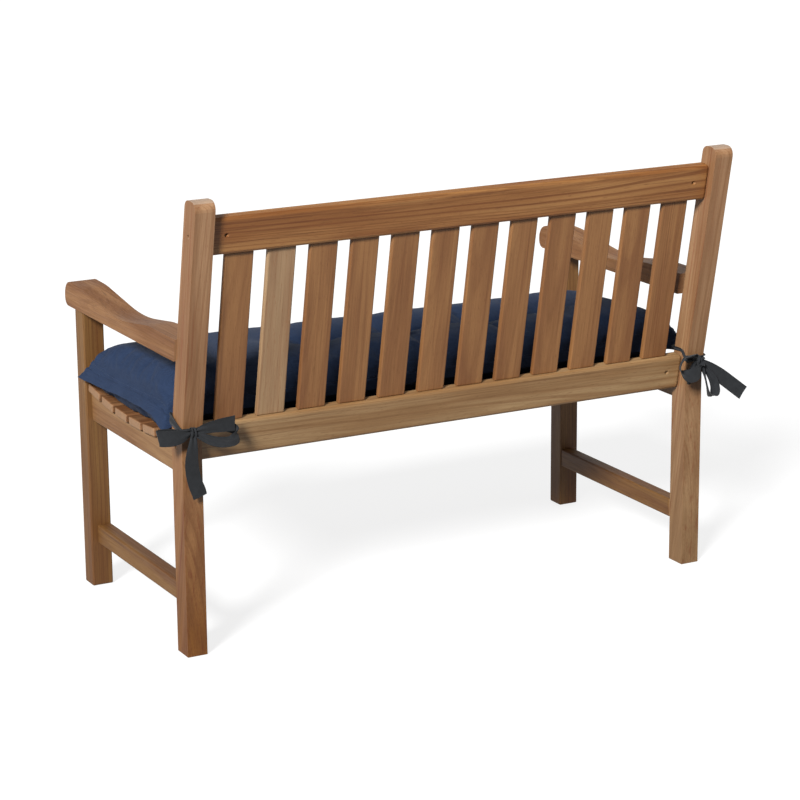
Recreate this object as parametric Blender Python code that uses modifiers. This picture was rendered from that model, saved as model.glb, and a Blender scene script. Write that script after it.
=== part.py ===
"""Bench cushion tied onto a two-seat slatted garden bench.

Metres, +Z up. The bench faces -Y, its back leans toward +Y, and the origin lies on the ground
under the middle of the bench. The cushion rests on the dished seat and is held by one ribbon
tie at each rear corner, bowed behind the rear post.
"""
import math
from collections import namedtuple

import bmesh
import bpy
from mathutils import Matrix, Vector

# ---- driving dimensions -------------------------------------------------------------------
GAP = 0.0003                # left between pieces that touch
HALF_LENGTH = 0.600         # middle of the bench to the outer face of a leg
SEAT_LOW = 0.424            # top of the seat at the bottom of its dish
DISH_Y = -0.030             # where the dish is lowest
DISH_CURVE = 0.41           # the seat rises by this times the square of the distance
DISH_STEPS = 8              # facets of the side aprons' hollow edge
LEAN = math.radians(11.5)   # of the back from upright
ARRIS = 0.003               # rounding of the sawn edges

# Rear posts: upright below the seat, leaning above it
POST_WIDTH = 0.042
POST_DEPTH = 0.0486
POST_REAR_Y = 0.241
POST_BEND_Z = 0.4376        # where the rear face starts to lean
POST_BEND_RADIUS = 0.20
POST_TOP_Z = 0.919
POST_TOP_RADIUS = 0.017
POST_FRONT_Y = POST_REAR_Y - POST_DEPTH
POST_FRONT_BEND_Z = POST_BEND_Z + POST_DEPTH * math.tan(LEAN / 2)

# Front legs
LEG_WIDTH = 0.0457
LEG_DEPTH = 0.0443
LEG_REAR_Y = -0.2515

# Arms
ARM_WIDTH = 0.058
ARM_OUT = 0.604             # middle of the bench to the arm's outer face
ARM_LOW_Z = 0.5945
ARM_NOSE_Y = -0.3375
ARM_NOSE_TOP_Z = 0.6480
ARM_SWELL_Y, ARM_SWELL_Z = -0.250, 0.6460   # where the top starts down to the waist
ARM_WAIST_Y, ARM_WAIST_Z = -0.055, 0.6175
ARM_REAR_Y, ARM_REAR_Z = 0.100, 0.6395      # where the top levels out to the post

# Rails and slats of the back
RAIL_HEIGHT = 0.075
RAIL_THICK = 0.027
RAIL_INSET = 0.0163         # of a rail's rear face from the posts' rear faces
RAIL_MID_Z = {"top_rail": 0.8465, "lower_rail": 0.4270}
BACK_SLATS = 12
BACK_SLAT_WIDTH = 0.0595
BACK_SLAT_THICK = 0.012
BACK_SLAT_PITCH = 0.0893
BACK_SLAT_INSET = 0.0085    # of a slat's rear face from the rails' rear faces
RAIL_ARRIS = 0.006
BACK_SLAT_ARRIS = 0.0025

# Seat
SEAT_SLATS = 7
SEAT_SLAT_WIDTH = 0.060
SEAT_SLAT_THICK = 0.018
SEAT_SLAT_PITCH = 0.0705
SEAT_SLAT_FIRST_Y = -0.2890
SEAT_SLAT_HALF = 0.595
SEAT_SLAT_LEG_GAP = 0.001   # between the first slat, which fits between the legs, and a leg
APRON_OUT = 0.588
APRON_THICK = 0.025
APRON_LOW_Z = 0.362
APRON_SETTLE = 0.0011       # left between the aprons' hollow edge and the slats
FRONT_APRON_Y = -0.2735
FRONT_APRON_DROP = 0.006    # of its top below the first slat
STRETCHER_OUT = 0.586
STRETCHER_SIZE = (0.030, 0.040)     # thickness, height
STRETCHER_LOW_Z = 0.0945

# Screw holes
HOLE_RADIUS = 0.0042
HOLE_DEPTH = 0.007
RAIL_HOLE_X = 0.524
RAIL_HOLE_TILT = math.radians(38)
RAIL_HOLE_PROUD = 0.001     # the drill starts this far outside the rail
POST_TOP_HOLE_Z = 0.8497
POST_RAIL_HOLE = (0.2115, 0.4210)   # y, z

# Cushion
CUSHION_MIN_X, CUSHION_MAX_X = -0.614, 0.618
CUSHION_SKEW = 0.032        # the right front corner lies this much short of the tied rear one
CUSHION_MIN_Y, CUSHION_MAX_Y = -0.250, 0.1885
CUSHION_INNER = (16, 4)     # facets from the full height to the middle, along and across
RAMP_STEPS = (0.08, 0.25, 0.50, 0.85)   # facet lines up the filling's ramp
SIDE_PULL = 0.012           # how far an edge draws in between its corners
END_PULL = 0.006
FLANGE_WIDTH = 0.016        # sewn border outside the filling, seen from above, at the ends
FLANGE_SIDE_WIDTH = 0.014   # and along the sides
FLANGE_DROOP = 0.024        # the border hangs from the seam: its edge is this much lower
FLANGE_THICK = 0.0026
FLANGE_Z = 0.4585           # of the border at the front, rising to the rear
FLANGE_RISE = 0.010
FLANGE_RISE_DEPTH = 0.35
END_RAMP = {1: 0.048, -1: 0.080}    # the filling reaches its full height this far inside the seam
SIDE_RAMP = 0.100
CROWN = 0.046               # top of the filling above the seam
LEFT_FULLNESS = 0.007       # the left half is filled a little higher than the right
BELLY = 0.072               # bottom of the filling below the seam, before the seat stops it
CORNER_DROP = 0.019         # the tied rear corners are pulled down over the seat's ends
CORNER_REACH = (0.080, 0.065)       # how far from a corner it sags, along and across
CHANNEL_X, CHANNEL_Y = -0.045, -0.030   # middle of the sewn channel along the cushion
CHANNEL_HALF = 0.395        # half the channel's length, with the fade at its ends
CHANNEL_FADE = 0.120
CHANNEL_DEPTH = 0.020
CHANNEL_WIDTH = 0.034
TUFT_X = (-0.385, -0.200, 0.000, 0.200)
TUFT_DEPTH = 0.014
TUFT_WIDTH = 0.050
TUFT_REACH = 0.095          # of a tuft's dip across the cushion

# Ties
RIBBON_THICK = 0.0012
BAND_WIDTH = 0.014          # the ribbon is bunched where it is pulled round the post
BAND_CLEAR = 0.002
BAND_FRONT_Z = 0.4765       # over the lower rail's end
BAND_DROP = 0.0170          # down to the knot behind the post
BAND_THICK = 0.0018
BAND_CORNER = 0.004
BAND_EDGE = 0.42            # half the band's width on its rounded outer side, of the whole width
BAND_DROP_START = 0.6       # share of the way from front to rear where the band turns down
KNOT_SIZE = (0.021, 0.019, 0.019)
KNOT_ROOT = 0.010           # a ribbon's width where it is gathered in the knot
ROOT_STEP = 0.0011          # between the roots of two strips in the knot
RIBBON_STEPS = 3            # facets between two stations of a ribbon's table
STEEP = 0.75                # a ribbon's run is hanging, not lying, when its slope passes this


# ---- materials and collections ------------------------------------------------------------
def material(name, colour, roughness):
    made = bpy.data.materials.new(name)
    made.use_nodes = True
    shader = made.node_tree.nodes["Principled BSDF"]
    shader.inputs["Base Color"].default_value = (*colour, 1.0)
    shader.inputs["Roughness"].default_value = roughness
    shader.inputs["Metallic"].default_value = 0.0
    return made


def collection(name):
    made = bpy.data.collections.new(name)
    bpy.context.scene.collection.children.link(made)
    return made


for old in list(bpy.data.objects):
    bpy.data.objects.remove(old, do_unlink=True)
BENCH = collection("tied_bench_cushion")
CUTTERS = collection("cutters")


def place(name, data, group=BENCH, finish=None):
    made = bpy.data.objects.new(name, data)
    group.objects.link(made)
    if finish is not None:
        data.materials.clear()
        data.materials.append(finish)
    return made


def mesh_from(bm, name):
    data = bpy.data.meshes.new(name)
    bm.to_mesh(data)
    bm.free()
    return data


# ---- shared geometry ----------------------------------------------------------------------
def seat_z(y):
    """Height of the dished seat's top."""
    return SEAT_LOW + DISH_CURVE * (y - DISH_Y) ** 2


def seat_slope(y):
    return math.atan(2 * DISH_CURVE * (y - DISH_Y))


def back_y(z):
    """The leaning rear face of the posts, carried straight down past their bend."""
    return POST_REAR_Y + math.tan(LEAN) * (z - POST_BEND_Z)


def filleted(corners, steps=5):
    """Outline through corners given as (a, b, radius), each radius as an arc."""
    outline = []
    for i, (a, b, radius) in enumerate(corners):
        here = Vector((a, b))
        before = (Vector(corners[i - 1][:2]) - here).normalized()
        after = (Vector(corners[(i + 1) % len(corners)][:2]) - here).normalized()
        if radius == 0:
            outline.append(here)
            continue
        half = before.angle(after) / 2
        middle = here + (before + after).normalized() * (radius / math.sin(half))
        start = here + before * (radius / math.tan(half)) - middle
        end = here + after * (radius / math.tan(half)) - middle
        turn = start.angle_signed(end)
        for k in range(steps + 1):
            outline.append(middle + Matrix.Rotation(-turn * k / steps, 2) @ start)
    return outline


def bevelled(obj, width=ARRIS, segments=2):
    rounding = obj.modifiers.new("arris", "BEVEL")
    rounding.width = width
    rounding.segments = segments
    rounding.limit_method = "ANGLE"
    rounding.angle_limit = math.radians(40)
    return obj


def side_profile(name, outline, x_low, x_high, finish):
    """A board whose outline is given in Y and Z, as thick as x_low to x_high."""
    data = bpy.data.curves.new(name, "CURVE")
    data.dimensions = "2D"
    data.fill_mode = "BOTH"
    data.extrude = (x_high - x_low) / 2
    spline = data.splines.new("POLY")
    spline.points.add(len(outline) - 1)
    for point, (y, z) in zip(spline.points, outline):
        point.co = (y, z, 0, 1)
    spline.use_cyclic_u = True
    board = place(name, data, finish=finish)
    board.location.x = (x_low + x_high) / 2
    board.rotation_euler = (math.pi / 2, 0, math.pi / 2)
    weld = board.modifiers.new("weld", "WELD")
    weld.merge_threshold = 0.00001
    return bevelled(board)


def board_box(name, size, centre, finish, tilt=0.0, arris=ARRIS):
    bm = bmesh.new()
    bmesh.ops.create_cube(bm, size=1.0)
    bmesh.ops.scale(bm, vec=size, verts=bm.verts)
    board = place(name, mesh_from(bm, name), finish=finish)
    board.location = centre
    board.rotation_euler.x = tilt
    return bevelled(board, arris)


def as_mesh(board):
    """The board with its modifiers applied, as a mesh that can be cut."""
    depsgraph = bpy.context.evaluated_depsgraph_get()
    data = bpy.data.meshes.new_from_object(board.evaluated_get(depsgraph))
    bm = bmesh.new()
    bm.from_mesh(data)
    bmesh.ops.remove_doubles(bm, verts=bm.verts, dist=0.00001)
    bm.to_mesh(data)
    bm.free()
    name, where = board.name, board.matrix_world.copy()
    bpy.data.objects.remove(board, do_unlink=True)
    made = place(name, data)
    made.matrix_world = where
    return made


def drilled(board, points, direction):
    """Blind screw holes at points, bored along direction."""
    bpy.context.view_layer.update()
    board = as_mesh(board)
    for i, point in enumerate(points):
        bm = bmesh.new()
        bmesh.ops.create_cone(bm, cap_ends=True, segments=12, radius1=HOLE_RADIUS,
                              radius2=HOLE_RADIUS, depth=2 * HOLE_DEPTH)
        drill = place(f"{board.name}_drill_{i + 1}", mesh_from(bm, "drill"), CUTTERS)
        drill.location = point
        drill.rotation_euler = Vector(direction).to_track_quat("Z", "Y").to_euler()
        drill.hide_render = True
        drill.display_type = "WIRE"
        cut = board.modifiers.new("drill", "BOOLEAN")
        cut.operation = "DIFFERENCE"
        cut.object = drill
    return board


# ---- the bench ----------------------------------------------------------------------------
def rear_post(name, side, finish):
    top_rear_y = back_y(POST_TOP_Z)
    corners = [
        (POST_REAR_Y, 0.0, 0),
        (POST_REAR_Y, POST_BEND_Z, POST_BEND_RADIUS),
        (top_rear_y, POST_TOP_Z, POST_TOP_RADIUS),
        (top_rear_y - POST_DEPTH / math.cos(LEAN), POST_TOP_Z, POST_TOP_RADIUS),
        (POST_FRONT_Y, POST_FRONT_BEND_Z, POST_BEND_RADIUS),
        (POST_FRONT_Y, 0.0, 0),
    ]
    inner, outer = sorted((side * (HALF_LENGTH - POST_WIDTH), side * HALF_LENGTH))
    post = side_profile(name, filleted(corners), inner, outer, finish)
    top_hole_y = back_y(POST_TOP_HOLE_Z) - POST_DEPTH / 2
    holes = [(side * HALF_LENGTH, top_hole_y, POST_TOP_HOLE_Z),
             (side * HALF_LENGTH, *POST_RAIL_HOLE)]
    return drilled(post, holes, (side, 0, 0))


def front_leg(name, side, finish):
    height = ARM_LOW_Z - GAP
    centre = (side * (HALF_LENGTH - LEG_WIDTH / 2), LEG_REAR_Y - LEG_DEPTH / 2, height / 2)
    return board_box(name, (LEG_WIDTH, LEG_DEPTH, height), centre, finish)


def arm(name, side, finish):
    """Arm with a rounded nose, a waist and a rise into the post."""
    def meets_post(z):
        return POST_FRONT_Y - 2 * GAP + math.tan(LEAN) * (z - POST_FRONT_BEND_Z)

    corners = [
        (meets_post(ARM_LOW_Z), ARM_LOW_Z, 0),
        (meets_post(ARM_REAR_Z), ARM_REAR_Z, 0),
        (ARM_REAR_Y, ARM_REAR_Z, 0.30),
        (ARM_WAIST_Y, ARM_WAIST_Z, 0.45),
        (ARM_SWELL_Y, ARM_SWELL_Z, 0.25),
        (ARM_NOSE_Y, ARM_NOSE_TOP_Z, 0.031),
        (ARM_NOSE_Y, ARM_LOW_Z, 0.016),
    ]
    inner, outer = sorted((side * (ARM_OUT - ARM_WIDTH), side * ARM_OUT))
    return side_profile(name, filleted(corners, 7), inner, outer, finish)


def back_rail(name, finish):
    mid_z = RAIL_MID_Z[name]
    rear = back_y(mid_z) - RAIL_INSET
    centre = (0, rear - RAIL_THICK / 2 / math.cos(LEAN), mid_z)
    size = (2 * (HALF_LENGTH - POST_WIDTH - GAP), RAIL_THICK, RAIL_HEIGHT)
    rail = board_box(name, size, centre, finish, tilt=-LEAN, arris=RAIL_ARRIS)
    out = Vector((0, math.cos(LEAN), -math.sin(LEAN)))
    holes = [Vector((side * RAIL_HOLE_X, rear, mid_z)) + out * RAIL_HOLE_PROUD for side in (-1, 1)]
    return drilled(rail, holes, Matrix.Rotation(RAIL_HOLE_TILT, 3, "Z") @ out)


def back_slat(name, index, finish):
    """A slat between the two rails, in line with their slope."""
    x = (index - (BACK_SLATS - 1) / 2) * BACK_SLAT_PITCH
    reach = RAIL_HEIGHT / 2 * math.cos(LEAN)
    low = RAIL_MID_Z["lower_rail"] + reach
    high = RAIL_MID_Z["top_rail"] - reach
    mid_z = (low + high) / 2
    length = (high - low) / math.cos(LEAN) - 2 * GAP
    inset = RAIL_INSET + BACK_SLAT_INSET + BACK_SLAT_THICK / 2 / math.cos(LEAN)
    size = (BACK_SLAT_WIDTH, BACK_SLAT_THICK, length)
    centre = (x, back_y(mid_z) - inset, mid_z)
    return board_box(name, size, centre, finish, tilt=-LEAN, arris=BACK_SLAT_ARRIS)


def seat_slat(name, index, finish):
    y = SEAT_SLAT_FIRST_Y + index * SEAT_SLAT_PITCH
    half = SEAT_SLAT_HALF if index > 0 else HALF_LENGTH - LEG_WIDTH - SEAT_SLAT_LEG_GAP
    slope = seat_slope(y)
    size = (2 * half, SEAT_SLAT_WIDTH, SEAT_SLAT_THICK)
    centre = (0, y + math.sin(slope) * SEAT_SLAT_THICK / 2,
              seat_z(y) - math.cos(slope) * SEAT_SLAT_THICK / 2)
    return board_box(name, size, centre, finish, tilt=slope)


def side_apron(name, side, finish):
    """Bearer under the slats' ends, its upper edge hollowed to the seat's dish."""
    front = LEG_REAR_Y + GAP
    rear = POST_FRONT_Y - GAP
    below = SEAT_SLAT_THICK / math.cos(seat_slope(rear)) + APRON_SETTLE
    outline = [Vector((front, APRON_LOW_Z)), Vector((rear, APRON_LOW_Z))]
    for k in range(DISH_STEPS + 1):
        y = rear + (front - rear) * k / DISH_STEPS
        outline.append(Vector((y, seat_z(y) - below)))
    inner, outer = sorted((side * (APRON_OUT - APRON_THICK), side * APRON_OUT))
    return side_profile(name, outline, inner, outer, finish)


def front_apron(name, finish):
    high = seat_z(FRONT_APRON_Y) - SEAT_SLAT_THICK - FRONT_APRON_DROP
    size = (2 * (HALF_LENGTH - LEG_WIDTH - GAP), APRON_THICK, high - APRON_LOW_Z)
    return board_box(name, size, (0, FRONT_APRON_Y, (high + APRON_LOW_Z) / 2), finish)


def side_stretcher(name, side, finish):
    front, rear = LEG_REAR_Y + GAP, POST_FRONT_Y - GAP
    thick, high = STRETCHER_SIZE
    centre = (side * (STRETCHER_OUT - thick / 2), (front + rear) / 2, STRETCHER_LOW_Z + high / 2)
    return board_box(name, (thick, rear - front, high), centre, finish)


# ---- the cushion --------------------------------------------------------------------------
def smooth(t):
    t = min(max(t, 0.0), 1.0)
    return t * t * (3 - 2 * t)


def bump(distance, width):
    return math.exp(-(distance / width) ** 2)


def filling(inside, ramp):
    """Height of the filling, 0 to 1, at a distance inside the sewn border."""
    if inside <= 0:
        return 0.0
    return math.sqrt(1 - (1 - min(inside / ramp, 1.0)) ** 2)


def cushion_outline(u, v):
    """Plan position at u along the length and v across the depth, each -1 to 1."""
    x_pull = END_PULL * (1 - v ** 2) * u
    y_pull = SIDE_PULL * (1 - u ** 4) * v
    x = (CUSHION_MIN_X + CUSHION_MAX_X) / 2 + u * (CUSHION_MAX_X - CUSHION_MIN_X) / 2 - x_pull
    x += CUSHION_SKEW * (1 - u) / 2 * (1 - v) / 2
    y = (CUSHION_MIN_Y + CUSHION_MAX_Y) / 2 + v * (CUSHION_MAX_Y - CUSHION_MIN_Y) / 2 - y_pull
    return x, y


def border_z(x, y):
    """Height of the flat border, pulled down where the rear corners are tied."""
    along, across = CORNER_REACH
    end = 1 - min(CUSHION_MAX_X - x, x - CUSHION_MIN_X) / along
    rear = 1 - (CUSHION_MAX_Y - y) / across
    rise = FLANGE_RISE * smooth((y - CUSHION_MIN_Y) / FLANGE_RISE_DEPTH)
    return FLANGE_Z + rise - CORNER_DROP * smooth(end) * smooth(rear)


def pressed_in(x, y):
    """Depth of the sewn channel and of the tufts along it."""
    along = smooth((CHANNEL_HALF - abs(x - CHANNEL_X)) / CHANNEL_FADE)
    depth = CHANNEL_DEPTH * bump(y - CHANNEL_Y, CHANNEL_WIDTH)
    for tuft in TUFT_X:
        depth += TUFT_DEPTH * bump(x - tuft, TUFT_WIDTH) * bump(y - CHANNEL_Y, TUFT_REACH)
    return depth * along


def cushion_heights(x, y, u, v):
    """Top and bottom of the filled cushion at one place."""
    reach_x = (1 - abs(u)) * (CUSHION_MAX_X - CUSHION_MIN_X) / 2 - FLANGE_WIDTH
    reach_y = (1 - abs(v)) * (CUSHION_MAX_Y - CUSHION_MIN_Y) / 2 - FLANGE_SIDE_WIDTH
    full = filling(reach_x, END_RAMP[1 if u > 0 else -1]) * filling(reach_y, SIDE_RAMP)
    up_border = min(reach_x / FLANGE_WIDTH, reach_y / FLANGE_SIDE_WIDTH, 0.0) + 1
    seam = border_z(x, y) + FLANGE_DROOP * up_border
    crown = CROWN + LEFT_FULLNESS * smooth(0.5 + x / 0.8) - pressed_in(x, y)
    top = seam + FLANGE_THICK / 2 + crown * full
    low = seam - FLANGE_THICK / 2 - BELLY * full
    return top, max(low, seat_z(y) + 2 * GAP)


def grid_lines(half, border, ramp, inner):
    """Places from -1 to 1 of the facet lines, which crowd at the border, seam and ramp."""
    inside = [0.0, border / 2, border] + [border + ramp * share for share in RAMP_STEPS]
    step = (half - inside[-1]) / inner
    inside += [inside[-1] + step * (k + 1) for k in range(inner)]
    below = [distance / half - 1 for distance in inside]
    return below + [-place for place in reversed(below[:-1])]


def cushion(name, finish):
    """One filled body: a grid pushed out to a top and a bottom skin that meet in the border."""
    along = grid_lines((CUSHION_MAX_X - CUSHION_MIN_X) / 2, FLANGE_WIDTH, END_RAMP[1],
                       CUSHION_INNER[0])
    across = grid_lines((CUSHION_MAX_Y - CUSHION_MIN_Y) / 2, FLANGE_SIDE_WIDTH, SIDE_RAMP,
                        CUSHION_INNER[1])
    bm = bmesh.new()
    bmesh.ops.create_grid(bm, x_segments=len(along) - 1, y_segments=len(across) - 1, size=1.0)
    grown = bmesh.ops.extrude_face_region(bm, geom=bm.faces[:])
    raised = {item for item in grown["geom"] if isinstance(item, bmesh.types.BMVert)}
    for vert in bm.verts:
        u = along[round((vert.co.x + 1) / 2 * (len(along) - 1))]
        v = across[round((vert.co.y + 1) / 2 * (len(across) - 1))]
        x, y = cushion_outline(u, v)
        top, low = cushion_heights(x, y, u, v)
        vert.co = (x, y, top if vert in raised else low)
    bmesh.ops.recalc_face_normals(bm, faces=bm.faces)
    data = mesh_from(bm, name)
    data.shade_smooth()
    return place(name, data, finish=finish)


# ---- the ties -----------------------------------------------------------------------------
# A place on a ribbon: how far out from the post's outer face, how far behind its rear face, its
# height, the ribbon's width there, and its turn about its own run in degrees (0 stands it on
# edge). Each loop leaves the knot and comes back to it, and each tail ends free.
Station = namedtuple("Station", "out behind z width turn")
TIES = {
    "left": {
        "knot": (-0.016, 0.0145, 0.4560),
        "loop_side": [
            Station(0.004, 0.0210, 0.4555, 0.018, 0),
            Station(0.026, 0.0220, 0.4545, 0.026, 0),
            Station(0.046, 0.0170, 0.4540, 0.028, 0),
            Station(0.050, 0.0130, 0.4540, 0.028, 0),
            Station(0.046, 0.0090, 0.4540, 0.028, 0),
            Station(0.026, 0.0100, 0.4545, 0.026, 0),
            Station(0.006, 0.0120, 0.4555, 0.018, 0),
        ],
        "loop_back": [
            Station(-0.036, 0.0230, 0.4480, 0.016, 12),
            Station(-0.060, 0.0330, 0.4380, 0.018, 25),
            Station(-0.086, 0.0330, 0.4310, 0.018, 30),
            Station(-0.098, 0.0250, 0.4330, 0.018, 30),
            Station(-0.086, 0.0170, 0.4400, 0.018, 25),
            Station(-0.060, 0.0150, 0.4440, 0.018, 12),
            Station(-0.036, 0.0140, 0.4500, 0.014, 0),
        ],
        "tail_side": [
            Station(-0.046, 0.0175, 0.4620, 0.020, 0),
            Station(-0.072, 0.0190, 0.4660, 0.026, 0),
            Station(-0.100, 0.0190, 0.4670, 0.028, 0),
        ],
        "tail_down": [
            Station(-0.012, 0.0170, 0.4300, 0.020, 0),
            Station(-0.010, 0.0160, 0.4040, 0.026, 0),
            Station(-0.016, 0.0150, 0.3700, 0.028, 0),
            Station(-0.030, 0.0140, 0.3300, 0.027, 0),
        ],
    },
    "right": {
        "knot": (-0.022, 0.0145, 0.4560),
        "loop_side": [
            Station(-0.046, 0.0230, 0.4580, 0.016, 30),
            Station(-0.070, 0.0350, 0.4500, 0.020, 50),
            Station(-0.078, 0.0390, 0.4370, 0.024, 60),
            Station(-0.066, 0.0370, 0.4230, 0.026, 50),
            Station(-0.046, 0.0290, 0.4200, 0.026, 30),
            Station(-0.030, 0.0210, 0.4320, 0.018, 15),
        ],
        "loop_back": [
            Station(-0.014, 0.0210, 0.4320, 0.016, 0),
            Station(-0.009, 0.0250, 0.4060, 0.018, 0),
            Station(-0.002, 0.0270, 0.3860, 0.018, 0),
            Station(0.010, 0.0290, 0.3800, 0.018, 0),
            Station(0.017, 0.0310, 0.3930, 0.018, 0),
            Station(0.011, 0.0270, 0.4120, 0.018, 0),
            Station(-0.002, 0.0210, 0.4360, 0.014, 0),
        ],
        "tail_side": [
            Station(0.010, 0.0170, 0.4330, 0.022, 0),
            Station(0.050, 0.0180, 0.4010, 0.027, 0),
            Station(0.095, 0.0190, 0.3710, 0.028, 0),
        ],
        "tail_down": [
            Station(-0.034, 0.0150, 0.4340, 0.018, 0),
            Station(-0.042, 0.0130, 0.4120, 0.018, 0),
        ],
    },
}
STRIPS = ("loop_side", "loop_back", "tail_side", "tail_down")


def strip_rows(table, number):
    """A strip's stations with its gathered root in the knot, each root a little apart."""
    out, behind, z = table["knot"]
    shift = ROOT_STEP * (number - 1.5)
    root = Station(out + shift, behind + 0.7 * shift, z - shift, KNOT_ROOT, 0)
    rows = [root] + table[STRIPS[number]]
    if STRIPS[number].startswith("loop"):
        rows.append(Station(out - shift, behind - 2 * ROOT_STEP, z + 0.5 * shift, KNOT_ROOT, 0))
    return rows


def smooth_rows(rows):
    """More stations between those of a table, along a smooth curve through them."""
    made = []
    for i in range(len(rows) - 1):
        near = (rows[max(i - 1, 0)], rows[i], rows[i + 1], rows[min(i + 2, len(rows) - 1)])
        for k in range(RIBBON_STEPS):
            t = k / RIBBON_STEPS
            made.append(Station(*(catmull_rom(*four, t) for four in zip(*near))))
    made.append(rows[-1])
    return made


def catmull_rom(a, b, c, d, t):
    straight = 2 * b + (c - a) * t
    return 0.5 * (straight + (2 * a - 5 * b + 4 * c - d) * t ** 2 + (3 * b - a - 3 * c + d) * t ** 3)


def behind_post(side, out, behind, z):
    return Vector((side * (HALF_LENGTH + out), POST_REAR_Y + behind, z))


def loft(rings, closed):
    """Quads between rings of four points, with end faces unless the last ring meets the first."""
    bm = bmesh.new()
    rings = [[bm.verts.new(point) for point in ring] for ring in rings]
    for i in range(len(rings) - (0 if closed else 1)):
        first, second = rings[i], rings[(i + 1) % len(rings)]
        for k in range(4):
            bm.faces.new((first[k], first[(k + 1) % 4], second[(k + 1) % 4], second[k]))
    if not closed:
        bm.faces.new(rings[0])
        bm.faces.new(rings[-1])
    bmesh.ops.recalc_face_normals(bm, faces=bm.faces)
    return bm


def ribbon(rows, side):
    """A strip of ribbon through its table's stations."""
    rows = smooth_rows(rows)
    centres = [behind_post(side, row.out, row.behind, row.z) for row in rows]
    rings = []
    for i, (centre, row) in enumerate(zip(centres, rows)):
        run = (centres[min(i + 1, len(rows) - 1)] - centres[max(i - 1, 0)]).normalized()
        face = Vector((0, 1, 0)) if abs(run.z) > STEEP else run.cross(Vector((0, 0, 1)))
        face = (face - run * face.dot(run)).normalized()
        edge = Matrix.Rotation(math.radians(row.turn) * side, 3, run) @ run.cross(face)
        across, through = edge * row.width / 2, edge.cross(run) * RIBBON_THICK / 2
        rings.append([centre + across + through, centre - across + through,
                      centre - across - through, centre + across - through])
    return loft(rings, closed=False)


def post_band(side):
    """The bunched ribbon pulled round the post."""
    knot_height = BAND_FRONT_Z - BAND_DROP - POST_BEND_Z
    rear = POST_REAR_Y + math.tan(LEAN) * (knot_height + BAND_WIDTH / 2) + BAND_CLEAR
    front = POST_FRONT_Y - BAND_CLEAR
    inner = HALF_LENGTH - POST_WIDTH - BAND_CLEAR
    outer = HALF_LENGTH + BAND_CLEAR
    route = filleted([(outer, front, BAND_CORNER), (outer, rear, BAND_CORNER),
                      (inner, rear, BAND_CORNER), (inner, front, BAND_CORNER)], 3)
    middle = sum(route, Vector((0, 0))) / len(route)
    rings = []
    for point in route:
        away = (point - middle).normalized() * BAND_THICK
        share = (point.y - front) / (rear - front)
        z = BAND_FRONT_Z - BAND_DROP * smooth((share - BAND_DROP_START) / (1 - BAND_DROP_START))
        ring = []
        for step, up in ((0, 0.5), (1, BAND_EDGE), (1, -BAND_EDGE), (0, -0.5)):
            flat = point + away * step
            ring.append(Vector((side * flat.x, flat.y, z + up * BAND_WIDTH)))
        rings.append(ring)
    return loft(rings, closed=True)


def tie(name, side, table, finish):
    """One ribbon: the band round the post, the knot, two loops and two free tails."""
    bm = bmesh.new()
    bmesh.ops.create_uvsphere(bm, u_segments=12, v_segments=8, radius=0.5)
    bmesh.ops.scale(bm, vec=KNOT_SIZE, verts=bm.verts)
    bmesh.ops.translate(bm, vec=behind_post(side, *table["knot"]), verts=bm.verts)
    knot = place(name, mesh_from(bm, name), finish=finish)
    strips = [post_band(side)]
    strips += [ribbon(strip_rows(table, number), side) for number in range(len(STRIPS))]
    for i, strip in enumerate(strips):
        piece = place(f"{name}_strip_{i + 1}", mesh_from(strip, "strip"), CUTTERS)
        piece.hide_render = True
        piece.display_type = "WIRE"
        join = knot.modifiers.new("join", "BOOLEAN")
        join.operation = "UNION"
        join.object = piece
    return knot


# ---- build --------------------------------------------------------------------------------
def build():
    teak = material("teak_planed", (0.30, 0.17, 0.075), 0.62)
    canvas = material("navy_canvas", (0.032, 0.052, 0.098), 0.85)
    grosgrain = material("charcoal_ribbon", (0.030, 0.034, 0.040), 0.80)
    for label, side in (("left", 1), ("right", -1)):
        rear_post(f"rear_post_{label}", side, teak)
        front_leg(f"front_leg_{label}", side, teak)
        arm(f"arm_{label}", side, teak)
        side_apron(f"side_apron_{label}", side, teak)
        side_stretcher(f"side_stretcher_{label}", side, teak)
    for rail in RAIL_MID_Z:
        back_rail(rail, teak)
    for i in range(BACK_SLATS):
        back_slat(f"back_slat_{i + 1:02d}", i, teak)
    for i in range(SEAT_SLATS):
        seat_slat(f"seat_slat_{i + 1}", i, teak)
    front_apron("front_apron", teak)
    cushion("cushion", canvas)
    for label, side in (("left", 1), ("right", -1)):
        tie(f"tie_{label}", side, TIES[label], grosgrain)


build()
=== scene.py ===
# %% [markdown]
# # A bench cushion tied to a garden bench
#
# The CAD model gives every board, the cushion and the two ties at their real places and sizes.
# This lesson gives each board its own cut of teak. The cushion and the ties are made anew in the
# same places, because cloth needs puffs, seams and creases that a plain solid doesn't have.

# %% Load the frame
import math
import random

import bmesh
import bpy
import numpy as np
from mathutils import Matrix, Quaternion, Vector
from mathutils.bvhtree import BVHTree


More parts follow.
